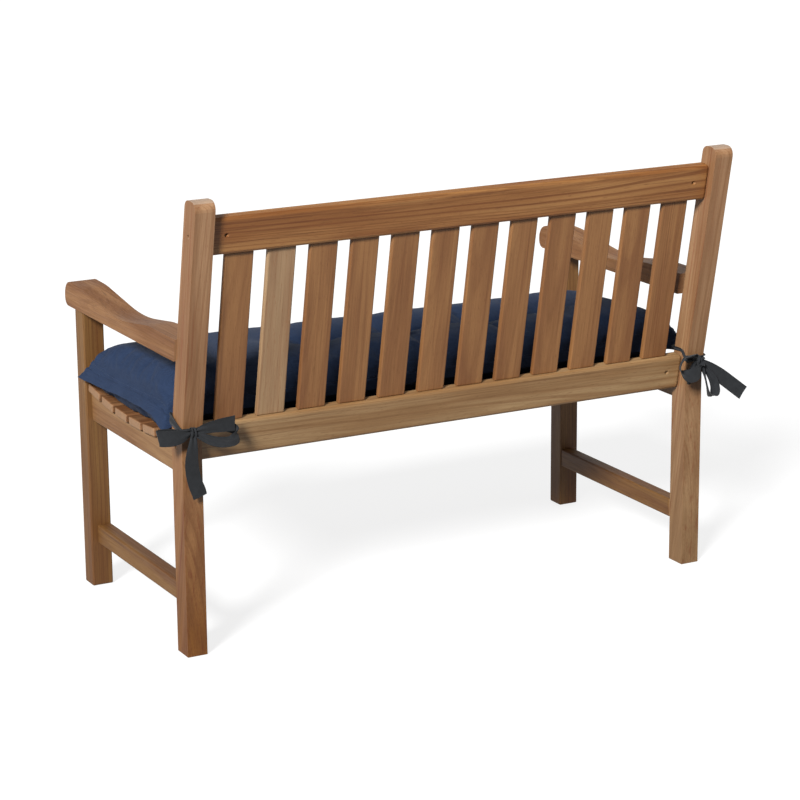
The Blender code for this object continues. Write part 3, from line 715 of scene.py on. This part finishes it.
def canvas(name, deep, worn, sheen):
    """Plain weave on the cloth's own UV map, which is in metres."""
    made, tree, shader = new_material(name, Specular_IOR_Level=0.25, Sheen_Weight=sheen,
                                      Sheen_Roughness=0.5)
    panel = add(tree, "UVMap").outputs[0]
    split = add(tree, "SeparateXYZ", {0: panel}).outputs

    def thread(across):
        """One set of threads, rounded, 0 in the gaps and 1 on top."""
        turns = add(tree, "Math", {0: across, 1: 1000 * math.pi / THREAD_MM},
                    operation="MULTIPLY").outputs[0]
        wave = add(tree, "Math", {0: turns}, operation="SINE").outputs[0]
        return add(tree, "Math", {0: wave}, operation="ABSOLUTE").outputs[0]

    weave = add(tree, "Math", {0: thread(split[0]), 1: thread(split[1])},
                operation="MULTIPLY").outputs[0]

    def slubs(size_mm):
        drawn = add(tree, "VectorMath", {0: panel, 1: (1000 / size_mm[0], 1000 / size_mm[1], 0)},
                    operation="MULTIPLY").outputs[0]
        return add(tree, "TexNoise", {"Vector": drawn, "Scale": 1.0, "Detail": 2.0}).outputs[0]

    both = add(tree, "Math", {0: slubs(SLUB_MM), 1: slubs(SLUB_MM[::-1])}).outputs[0]
    cloud = add(tree, "TexNoise", {"Vector": panel, "Scale": 1000 / CLOUD_MM,
                                   "Detail": 4.0}).outputs[0]
    mixed = add(tree, "Math", {0: both, 1: cloud}).outputs[0]
    pale = add(tree, "MapRange", {"Value": mixed, "From Min": 1.2, "From Max": 1.8}).outputs[0]
    colour = add(tree, "MixRGB", {"Fac": pale, "Color1": linear(deep),
                                  "Color2": linear(worn)}).outputs[0]
    shade = add(tree, "MapRange", {"Value": weave, "To Min": 0.80, "To Max": 1.15}).outputs[0]
    colour = add(tree, "VectorMath", {0: colour, "Scale": shade}, operation="SCALE").outputs[0]
    tree.links.new(colour, shader.inputs["Base Color"])
    rough = add(tree, "MapRange", {"Value": weave, "To Min": 0.95, "To Max": 0.82}).outputs[0]
    tree.links.new(rough, shader.inputs["Roughness"])
    height = add(tree, "Math", {0: weave, 1: both}).outputs[0]
    bump = add(tree, "Bump", {"Height": height, "Strength": 0.5, "Distance": WEAVE_RELIEF})
    tree.links.new(bump.outputs[0], shader.inputs["Normal"])
    return made


cushion.data.materials.clear()
cushion.data.materials.append(canvas("navy_canvas", "#1A2A44", "#253551", sheen=0.02))
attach(cushion, "root")
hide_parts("cushion")

sewing, sewing_tree, sewing_shader = new_material("navy_thread", Roughness=0.7)
twist = add(sewing_tree, "TexWave", {"Vector": add(sewing_tree, "TexCoord").outputs["Object"],
                                     "Scale": 900.0, "Distortion": 1.0}).outputs[0]
sewing_tree.links.new(add(sewing_tree, "MixRGB", {"Fac": twist, "Color1": linear("#1C2940"),
                                                  "Color2": linear("#2E3E5A")}).outputs[0],
                      sewing_shader.inputs["Base Color"])
thread_mesh.materials.append(sewing)
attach(stitching, "root")
print("cushion is dressed")

# %% [markdown]
# ## The ties: how a bow is made
#
# Each tie is one 31 mm cotton ribbon, sewn by its middle to a rear corner of the cushion. It is
# bunched where it goes round the post, and behind the post it is tied in a bow: a knot, two loops
# and two tails with free cut ends. A ribbon could be simulated, but a bow that has to match a real
# one is quicker to lay one by one. Each strip is a short table of stations along its middle line,
# with the ribbon's width there and which way it lies.
#
# A ribbon that is squeezed narrow folds into pleats. So where a station is narrower than the
# ribbon, the cross-section becomes a wave, deep in the knot and flat at the end.

# %% Ribbon helpers
RIBBON_WIDE = 0.031
RIBBON_THICK = 0.0010
PLEATS, PLEAT_DEPTH = 1.5, 0.0030       # folds across, and their depth where it is squeezed most
STATION_STEP = 0.0022       # metres between cross-sections
ACROSS = 14                 # facets across the ribbon


def foot(post):
    """Outer face x, rear face y and front face y of a post, measured at its foot."""
    at_foot = np.array([v.co for v in nodes[post].data.vertices if v.co.z < 0.1])
    side = np.sign(at_foot[:, 0].mean())
    return side, abs(at_foot[:, 0]).max(), at_foot[:, 1].max(), at_foot[:, 1].min()


def along_curve(rows, step):
    """Rows read at even steps of a smooth curve through the given rows, which start with a place."""
    rows = np.array(rows, float)
    padded = np.vstack([2 * rows[0] - rows[1], rows, 2 * rows[-1] - rows[-2]])
    dense = []
    for i in range(1, len(padded) - 2):
        a, b, c, d = padded[i - 1:i + 3]
        for t in np.linspace(0, 1, 24, endpoint=False):
            dense.append(0.5 * (2 * b + (c - a) * t + (2 * a - 5 * b + 4 * c - d) * t ** 2
                                + (3 * b - a - 3 * c + d) * t ** 3))
    dense.append(rows[-1])
    dense = np.array(dense)
    run = np.concatenate([[0], np.cumsum(np.linalg.norm(np.diff(dense[:, :3], axis=0), axis=1))])
    wanted = np.linspace(0, run[-1], max(int(run[-1] / step), 4))
    return np.stack([np.interp(wanted, run, column) for column in dense.T], axis=1), wanted


def ribbon(name, rows, cup, phase):
    """A strip of ribbon. Each row is a place, a width and the direction of the width. cup is how
    far its middle stands proud of its edges, and phase shifts its pleats."""
    rows, run = along_curve(rows, STATION_STEP)
    places, widths, across = rows[:, :3], rows[:, 3], rows[:, 4:7]
    forward = np.gradient(places, axis=0)
    forward /= np.linalg.norm(forward, axis=1, keepdims=True)
    across = across - forward * (across * forward).sum(1, keepdims=True)
    across /= np.linalg.norm(across, axis=1, keepdims=True)
    face = np.cross(across, forward)
    share = np.linspace(-1, 1, ACROSS + 1)
    squeezed = np.clip(1 - widths / RIBBON_WIDE, 0, 1)
    points, flat = [], []
    for k in range(len(rows)):
        wave = math.pi * PLEATS * share + phase + 2 * run[k] / 0.05
        fold = PLEAT_DEPTH * squeezed[k] * np.sin(wave)
        rise = fold + cup * (1 - share ** 2)
        line = (places[k] + across[k] * share[:, None] * widths[k] / 2 + face[k] * rise[:, None])
        points.append(line)
        flat.append(np.stack([share * RIBBON_WIDE / 2, np.full_like(share, run[k])], axis=1))
    points, flat = np.concatenate(points), np.concatenate(flat)
    faces = []
    for k in range(len(rows) - 1):
        for j in range(ACROSS):
            a = k * (ACROSS + 1) + j
            faces.append((a, a + 1, a + ACROSS + 2, a + ACROSS + 1))
    data = bpy.data.meshes.new(name)
    data.from_pydata(points.tolist(), [], faces)
    set_uv(data, "strip", flat)
    return new_object(name, data), run[-1]


def in_place(table, post):
    """Stations in mm, out from the post's outer face, behind its rear face and up, as places."""
    side, outer, rear, front = foot(post)
    placed = []
    for out, behind, up, width, a_out, a_behind, a_up in table:
        placed.append((side * (outer + out / 1000), rear + behind / 1000, up / 1000, width / 1000,
                       side * a_out, a_behind, a_up))
    return placed


print("left post stands at", [round(float(v), 4) for v in foot("rear_post_left")])

# %% [markdown]
# ## The ties: stations of the two bows
#
# The columns are in millimetres: how far out from the post's outer face, how far behind its rear
# face, how high, and how wide the ribbon is; the last three say which way its width lies, as
# outward, backward and upward parts. The left bow has a flat loop, a loose loop under a spread
# tail, and a tail that hangs down. The right bow has a round loop, a narrow hanging loop, a short
# folded tip and a long tail that sticks out.

# %% Stations
BOWS = {
    "left": {
        "knot": (-18, 13.5, 459),
        "flat_loop": [
            (-14, 14, 459, 10, 0, 0, 1), (-4, 19, 458, 17, .1, 0, 1), (9, 22, 456.5, 26, .2, 0, 1),
            (28, 23, 455.5, 31, .25, 0, 1), (46, 19, 456, 32, .3, 0, 1),
            (54, 13.5, 456.5, 32, .3, 0, 1), (46, 9, 457, 31, .3, 0, 1),
            (28, 8, 457.5, 27, .25, 0, 1), (10, 9.5, 458, 20, .15, 0, 1),
            (-6, 12, 458.5, 13, .1, 0, 1), (-15, 13.5, 459, 9, 0, 0, 1)],
        "loose_loop": [
            (-20, 15, 457, 9, 0, 0, 1), (-31, 20, 452, 13, 0, -.1, 1), (-46, 27, 444, 18, 0, -.4, 1),
            (-66, 32, 438, 22, 0, -.7, .9), (-87, 33, 436.5, 22, 0, -.8, .8),
            (-101, 29, 440, 22, 0, -.5, 1), (-108, 21, 447, 21, .1, -.2, 1),
            (-103, 13, 455, 20, .1, 0, 1), (-84, 9, 460.5, 19, 0, 0, 1), (-56, 9, 461.5, 15, 0, 0, 1),
            (-32, 11.5, 460, 11, 0, 0, 1), (-20, 13, 459, 9, 0, 0, 1)],
        "spread_tail": [
            (-20, 15, 460, 9, 0, 0, 1), (-31, 18.5, 463, 14, 0, 0, 1), (-48, 21, 466, 22, 0, .1, 1),
            (-72, 21.5, 467.5, 28, 0, .1, 1), (-104, 20.5, 467.5, 31, .03, 0, 1)],
        "hanging_tail": [
            (-18, 15, 456, 9, 1, 0, 0), (-17, 17, 443, 15, 1, 0, 0), (-14, 18.5, 425, 23, 1, .1, 0),
            (-12, 18, 404, 29, 1, .15, 0), (-14, 16.5, 380, 31, 1, .15, -.1),
            (-20, 15, 356, 31, 1, .1, -.15), (-25.5, 14.5, 342, 31, 1, .05, 0),
            (-29.5, 14, 329, 30, 1, .05, .05)],
    },
    "right": {
        "knot": (-21, 14, 456),
        "round_loop": [
            (-22, 15, 459, 10, 0, 0, 1), (-34, 20, 466, 13, -.2, .6, .7),
            (-50, 25, 469, 18, -.4, .9, .2), (-66, 29, 464, 22, -.45, .85, .2),
            (-76, 31, 452, 24, -.45, .85, .2), (-76, 33, 440, 25, -.4, .85, -.1),
            (-66, 34, 431, 27, -.3, .7, -.6), (-50, 34, 428, 29, -.1, .4, -.9),
            (-34, 31, 431, 30, 0, .15, -1), (-22, 26, 439, 24, -.3, .1, -.9),
            (-17, 21, 448, 15, -.8, 0, -.5), (-20, 15, 456, 9, -1, 0, 0)],
        "narrow_loop": [
            (-18, 16, 452, 9, .5, .8, 0), (-13, 20, 438, 14, -.1, 1, 0),
            (-9, 24, 420, 18, -.45, .85, .25), (-6, 27, 402, 20, -.45, .85, .25),
            (-2, 29, 385, 21, -.3, .9, .3), (5, 30, 376, 22, 0, .9, .4),
            (13, 30, 380, 22, .4, .85, .3), (15, 29, 394, 20, .75, .6, 0),
            (11, 26, 411, 18, .85, .5, 0), (2, 22, 428, 15, .9, .4, 0),
            (-8, 18, 442, 12, 1, .3, 0), (-18, 15, 452, 9, 1, 0, 0)],
        "long_tail": [
            (-18, 15, 454, 9, 0, 0, 1), (-7, 17, 446, 16, .2, 0, 1), (9, 18.5, 434, 24, .5, 0, 1),
            (32, 19.5, 416.5, 30, .6, 0, 1), (60, 20, 395, 31, .6, 0, 1),
            (94, 20, 369, 31, .6, 0, 1)],
        "short_tip": [
            (-24, 14, 452, 9, 1, 0, 0), (-31, 15, 438, 16, 1, .1, 0), (-37, 15, 424, 17, 1, .1, 0),
            (-41, 14.5, 412, 10, 1, .1, 0), (-43, 14, 404, 2, 1, .1, 0)],
    },
}
# the band's heights and widths: on the post's outer side, on its inner side, and behind it
BAND = {"left": ((474, 472, 460), (23, 9, 12)), "right": ((476, 472, 457), (15, 9, 11))}
POST_WIDE = 42


def knot_wrap(knot):
    """The turn of ribbon over the middle of the bow, a little more than once round."""
    out, behind, up = knot
    rows = []
    for degrees in range(0, 391, 30):
        angle = math.radians(degrees)
        rows.append((out + degrees / 390 * 2 - 1, behind + 7.0 * math.cos(angle),
                     up + 8.5 * math.sin(angle), 11 - 2 * math.sin(angle), 1, 0.1, 0.15))
    return rows


def post_band(label, post):
    """The bunched ribbon round the post, from behind it, along both sides, and in front."""
    rear, front = foot(post)[2:]
    deep = (rear - front) * 1000
    wide = POST_WIDE + 2 * 2
    heights, widths = BAND[label]
    corner, clear = 4.0, 2.2                            # its corner radius, and off the wood
    lean = 6.0                                          # the post's rear face, up at the band
    plan = [(-20, lean + clear), (clear - corner, lean + clear), (clear, lean + clear - corner),
            (clear, -10), (clear, -deep + 8), (clear, -deep - clear + corner),
            (clear - corner, -deep - clear), (-21, -deep - clear),
            (clear - wide + corner, -deep - clear), (clear - wide, -deep - clear + corner),
            (clear - wide, -deep + 12), (clear - wide, -12), (clear - wide, lean + clear - corner),
            (clear - wide + corner, lean + clear), (-22, lean + clear)]
    rows = []
    for index, (out, back) in enumerate(plan):
        inner = index > 6
        forward = float(smooth((lean - back) / (deep + lean) * (3.2 if inner else 1.0)))
        high = heights[2] + (heights[inner] - heights[2]) * forward
        broad = widths[2] + (widths[inner] - widths[2]) * forward
        rows.append((out, back, high, broad, 0, 0, 1))
    return rows


print({label: list(bow) for label, bow in BOWS.items()})

# %% [markdown]
# ## The ties: ribbon cloth
#
# The ribbon is a charcoal twill tape, matte, with a firmer selvedge along both edges. Its ribs run
# slantwise across the tape and are drawn 1.5 mm apart, about twice as far as real ones.

# %% Ribbon material
RIB_MM = 1.5
SELVEDGE = (0.0133, 0.0143) # metres from the middle line at which the selvedge starts


def tape(name, deep, worn):
    made, tree, shader = new_material(name, Specular_IOR_Level=0.25, Sheen_Weight=0.08)
    strip = add(tree, "UVMap").outputs[0]
    split = add(tree, "SeparateXYZ", {0: strip}).outputs
    slant = add(tree, "Math", {0: split[0], 1: 0.5, 2: split[1]},
                operation="MULTIPLY_ADD").outputs[0]
    turns = add(tree, "Math", {0: slant, 1: 2000 * math.pi / RIB_MM},
                operation="MULTIPLY").outputs[0]
    rib = add(tree, "MapRange", {"Value": add(tree, "Math", {0: turns}, operation="SINE").outputs[0],
                                 "From Min": -1.0}).outputs[0]
    aside = add(tree, "Math", {0: split[0]}, operation="ABSOLUTE").outputs[0]
    selvedge = add(tree, "MapRange", {"Value": aside, "From Min": SELVEDGE[0],
                                      "From Max": SELVEDGE[1]}).outputs[0]
    cloud = add(tree, "TexNoise", {"Vector": strip, "Scale": 70.0, "Detail": 4.0}).outputs[0]
    pale = add(tree, "Math", {0: rib, 1: 0.35, 2: cloud}, operation="MULTIPLY_ADD").outputs[0]
    pale = add(tree, "MapRange", {"Value": pale, "From Min": 0.35, "From Max": 0.95}).outputs[0]
    colour = add(tree, "MixRGB", {"Fac": pale, "Color1": linear(deep),
                                  "Color2": linear(worn)}).outputs[0]
    colour = add(tree, "MixRGB", {"Fac": add(tree, "Math", {0: selvedge, 1: 0.4},
                                             operation="MULTIPLY").outputs[0],
                                  "Color1": colour, "Color2": linear(deep)}).outputs[0]
    tree.links.new(colour, shader.inputs["Base Color"])
    tree.links.new(add(tree, "MapRange", {"Value": rib, "To Min": 0.92, "To Max": 0.78}).outputs[0],
                   shader.inputs["Roughness"])
    bump = add(tree, "Bump", {"Height": rib, "Strength": 0.5, "Distance": 0.0003})
    tree.links.new(bump.outputs[0], shader.inputs["Normal"])
    return made


charcoal_tape = tape("charcoal_twill_tape", "#1A1C1F", "#27292C")
print("tape rib drawn at", RIB_MM, "mm")

# %% [markdown]
# ## The ties: lay the strips and join them
#
# All strips of one tie are one real ribbon, so they are joined into one piece. Solidify gives it
# its thickness, evenly on both sides of the middle surface.

# %% Lay the bows
TAIL_CUP, LOOP_CUP = 0.0012, 0.0006     # metres

for label, bow in BOWS.items():
    post = "rear_post_" + label
    strips, ribbon_length = [], 0.0
    tables = {"band": post_band(label, post), "wrap": knot_wrap(bow["knot"])}
    tables.update({part: table for part, table in bow.items() if part != "knot"})
    for number, (part, table) in enumerate(tables.items()):
        cup = TAIL_CUP if "tail" in part else LOOP_CUP
        strip, length = ribbon(f"{part}_{label}", in_place(table, post), cup=cup, phase=number * 0.9)
        strips.append(strip)
        ribbon_length += length
    select_only(strips[0])
    for strip in strips:
        strip.select_set(True)
    bpy.ops.object.join()
    bow_piece = bpy.context.object
    bow_piece.name = "ribbon_bow_" + label
    thick = bow_piece.modifiers.new("thickness", "SOLIDIFY")
    thick.thickness = RIBBON_THICK
    thick.offset = 0.0
    apply_all(bow_piece)
    bpy.ops.object.shade_smooth_by_angle(angle=math.radians(50))
    bow_piece.data.materials.append(charcoal_tape)
    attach(bow_piece, "root")
    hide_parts("tie_" + label)
    print(bow_piece.name, "ribbon length", round(ribbon_length, 3), "m")

# %% [markdown]
# ## Screws
#
# The rails and posts are screwed from the outside, in drilled holes. The heads sit a few
# millimetres deep and show as dull metal in a dark hole; the metal's colour is darkened further
# as painted shade of the hole. One head is modelled: a disc with a sloped rim and a cross recess
# cut by two bars. Copies go into the eight holes.

# %% Screw heads
HEAD_RADIUS = 0.0036
HEAD_THICK = 0.0020
RECESS = (0.0046, 0.0012, 0.0016)
SUNK = 0.0062               # of the head below the wood
RAIL_HOLE_X = 0.524
RAIL_HOLE_TILT = math.radians(38)
RAIL_HALF = 0.0135          # half a rail's thickness
POST_HOLES = ((None, 0.8497), (0.2115, 0.4210))     # y and z; y is worked out where it is None
KNEE_Z = 0.4376             # where the posts start to lean
SPIN_STEP = 0.7             # turn of each recess from the one before


def screw_head():
    """A screw head at the origin that faces +Z."""
    bpy.ops.object.select_all(action="DESELECT")
    bpy.ops.mesh.primitive_cylinder_add(vertices=24, radius=HEAD_RADIUS, depth=HEAD_THICK)
    head = bpy.context.object
    bpy.ops.object.mode_set(mode="EDIT")
    select_facing(head, lambda normal: normal.z > 0.9)
    bpy.ops.mesh.inset(thickness=HEAD_RADIUS * 0.22)
    bpy.ops.transform.translate(value=(0, 0, HEAD_THICK * 0.3))
    bpy.ops.object.mode_set(mode="OBJECT")
    for quarter in (0, math.pi / 2):
        bpy.ops.mesh.primitive_cube_add(size=1, location=(0, 0, HEAD_THICK * 0.8),
                                        rotation=(0, 0, quarter))
        bar = bpy.context.object
        bar.scale = RECESS
        cut = head.modifiers.new("recess", "BOOLEAN")
        cut.operation = "DIFFERENCE"
        cut.object = bar
        apply_all(head)
        bpy.data.objects.remove(bar)
    return head


# the zinc is dull, and both its colours are darkened further as painted shade of the deep hole
zinc, zinc_tree, zinc_shader = new_material("zinc_plated_steel", Metallic=1.0)
dull = add(zinc_tree, "TexNoise", {"Vector": add(zinc_tree, "TexCoord").outputs["Object"],
                                   "Scale": 900.0, "Detail": 3.0}).outputs[0]
zinc_tree.links.new(add(zinc_tree, "MixRGB", {"Fac": dull, "Color1": linear("#3A3632"),
                                              "Color2": linear("#7C766C")}).outputs[0],
                    zinc_shader.inputs["Base Color"])
zinc_tree.links.new(add(zinc_tree, "MapRange", {"Value": dull, "To Min": 0.35,
                                                "To Max": 0.6}).outputs[0],
                    zinc_shader.inputs["Roughness"])

model_head = screw_head()
holes = []
_, outer, rear, front = foot("rear_post_left")
for side in (-1, 1):
    for rail in ("top_rail", "lower_rail"):
        low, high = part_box(rail)
        centre = (low + high) / 2
        out = Vector((0, math.cos(LEAN), -math.sin(LEAN)))
        face = centre + out * RAIL_HALF
        face.x = side * RAIL_HOLE_X
        holes.append((face, Matrix.Rotation(RAIL_HOLE_TILT, 3, "Z") @ out))
    for y, z in POST_HOLES:
        if y is None:
            y = rear + math.tan(LEAN) * (z - KNEE_Z) - (rear - front) / 2
        holes.append((Vector((side * outer, y, z)), Vector((side, 0, 0))))
for number, (place, out) in enumerate(holes):
    head = new_object(f"screw_{number + 1}", model_head.data.copy())
    spin = Matrix.Rotation(SPIN_STEP * number, 4, "Z")
    head.data.transform(Matrix.Translation(place - out * SUNK)
                        @ out.to_track_quat("Z", "Y").to_matrix().to_4x4() @ spin)
    head.data.materials.append(zinc)
    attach(head, "root")
bpy.data.objects.remove(model_head)
print("screws:", len(holes))

# %% [markdown]
# ## Finish
#
# One helper rounds the corners of a box to five decimal places.

# %% Finish
def corners(box):
    return [[round(float(v), 5) for v in corner] for corner in box]
